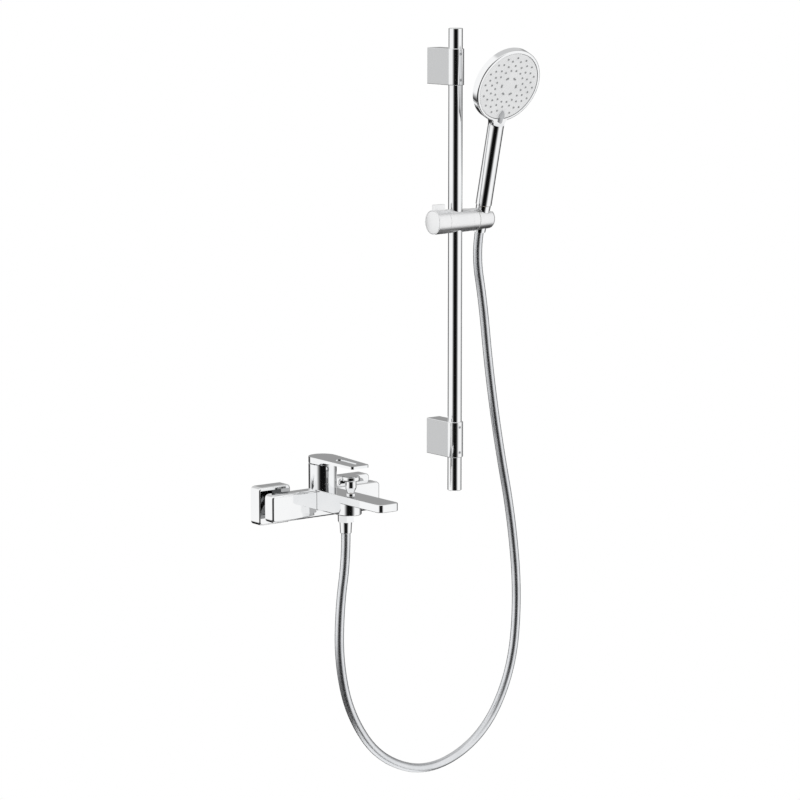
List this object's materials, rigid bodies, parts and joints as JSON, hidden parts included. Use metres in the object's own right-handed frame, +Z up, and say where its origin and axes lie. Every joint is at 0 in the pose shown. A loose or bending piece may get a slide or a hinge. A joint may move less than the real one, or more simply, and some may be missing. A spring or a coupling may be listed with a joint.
{
  "type": "shower mixer with riser rail",
  "caption": "Wall-mounted chrome bath mixer with spout, lever and diverter, a riser rail with sliding holder, hand shower and flexible hose.",
  "frame": {"origin": "on the wall plane, midway between the wall screws of the two rail brackets", "axes": "+X right along the wall, -Y out of the wall towards the user, +Z up"},
  "size_m": [0.4834, 0.225, 1.1591],
  "materials": {
    "polished_chrome": "polished",
    "satin_chrome": "satin",
    "brushed_hose": "satin",
    "bracket_chrome": "polished",
    "pale_face": "matte",
    "nozzle_rubber": "matte",
    "selector_grey": "satin",
    "white_plastic": "matte",
    "dark_plastic": "matte",
    "brass": "satin",
    "seal_rubber": "matte",
    "ceramic": "gloss",
    "steel": "satin",
    "zinc_base": "matte"
  },
  "bodies": {
    "fixed": {"riser_rail": "polished_chrome", "rail_end_caps": "polished_chrome", "upper_bracket": "bracket_chrome", "lower_bracket": "bracket_chrome", "upper_wall_base": "zinc_base", "lower_wall_base": "zinc_base", "rail_grub_screws": "steel", "bracket_lock_screws": "steel", "mixer_body": "polished_chrome", "wall_cover_left": "polished_chrome", "wall_cover_right": "polished_chrome", "supply_union_left": "brass", "supply_union_right": "brass", "union_nuts": "polished_chrome", "inlet_washers": "seal_rubber", "cartridge_housing": "white_plastic", "cartridge_base": "white_plastic", "fixed_ceramic_disc": "ceramic", "cartridge_nut": "dark_plastic", "diverter_bonnet": "polished_chrome", "bonnet_seal": "seal_rubber", "aerator_housing": "polished_chrome", "aerator_insert": "white_plastic", "outlet_nipple": "brass", "check_valve": "white_plastic", "hose_washer": "seal_rubber", "hose_nut": "polished_chrome", "hose_ferrule": "polished_chrome", "shower_hose": "brushed_hose"},
    "mixer_turret": {"spindle_guide": "white_plastic", "spindle_pin": "steel"},
    "lever": {"mixer_lever": "polished_chrome", "lever_spindle": "steel", "lever_grub_screw": "steel", "index_plug": "selector_grey"},
    "valve_disc": {"moving_ceramic_disc": "ceramic", "disc_driver": "dark_plastic"},
    "diverter": {"diverter_knob": "polished_chrome", "diverter_spindle": "brass", "diverter_washer": "seal_rubber"},
    "carriage": {"slider_bush": "white_plastic"},
    "slider": {"slider_body": "satin_chrome", "clamp_pad": "dark_plastic", "friction_washer": "white_plastic", "swivel_collar": "satin_chrome", "pivot_bolt": "steel"},
    "knob": {"slider_knob": "satin_chrome", "knob_disc": "selector_grey", "clamp_screw": "brass"},
    "holder": {"handset_holder": "satin_chrome"},
    "handset": {"hose_cone_nut": "polished_chrome", "handset_connector": "brass", "handset_handle": "polished_chrome", "handset_water_tube": "white_plastic", "head_shell": "polished_chrome", "spray_chamber": "white_plastic"},
    "spray": {"spray_face": "pale_face", "nozzle_mat": "nozzle_rubber", "spray_selector": "selector_grey"}
  },
  "joints": [
    {"name": "temperature_turn", "type": "hinge", "parent": "fixed", "child": "mixer_turret", "pos_m": [-0.247, -0.042, -0.3234], "axis": [0, 0, 1], "range_deg": [-45, 45]},
    {"name": "flow_lift", "type": "hinge", "parent": "mixer_turret", "child": "lever", "pos_m": [-0.247, -0.042, -0.3234], "axis": [-1, 0, 0], "range_deg": [0, 18]},
    {"name": "disc_slide", "type": "slide", "parent": "mixer_turret", "child": "valve_disc", "axis": [0, -1, 0], "range_m": [0, 0.004]},
    {"name": "diverter_lift", "type": "slide", "parent": "fixed", "child": "diverter", "axis": [0, 0, 1], "range_m": [0, 0.008]},
    {"name": "slider_slide", "type": "slide", "parent": "fixed", "child": "carriage", "axis": [0, 0, 1], "range_m": [-0.285, 0.18], "deforming": ["shower_hose"]},
    {"name": "slider_swivel", "type": "hinge", "parent": "carriage", "child": "slider", "pos_m": [0, -0.054, 0.0525], "axis": [0, 0, 1], "range_deg": [-45, 30], "deforming": ["shower_hose"]},
    {"name": "knob_turn", "type": "hinge", "parent": "slider", "child": "knob", "pos_m": [-0.03, -0.054, 0.0525], "axis": [1, 0, 0], "range_deg": [0, 45]},
    {"name": "holder_tilt", "type": "hinge", "parent": "slider", "child": "holder", "pos_m": [0.052, -0.054, 0.0525], "axis": [1, 0, 0], "range_deg": [-5, 45], "deforming": ["shower_hose"]},
    {"name": "handset_lift", "type": "slide", "parent": "holder", "child": "handset", "axis": [0, -0.23, 0.9732], "range_m": [0, 0.08], "deforming": ["shower_hose"]},
    {"name": "spray_select", "type": "hinge", "parent": "handset", "child": "spray", "pos_m": [0.052, -0.12021, 0.26086], "axis": [0, -0.9285, -0.3714], "range_deg": [-20, 20]}
  ],
  "couplings": [
    {"joint": "disc_slide", "follows": "flow_lift", "m_per_rad": 0.0125}
  ]
}
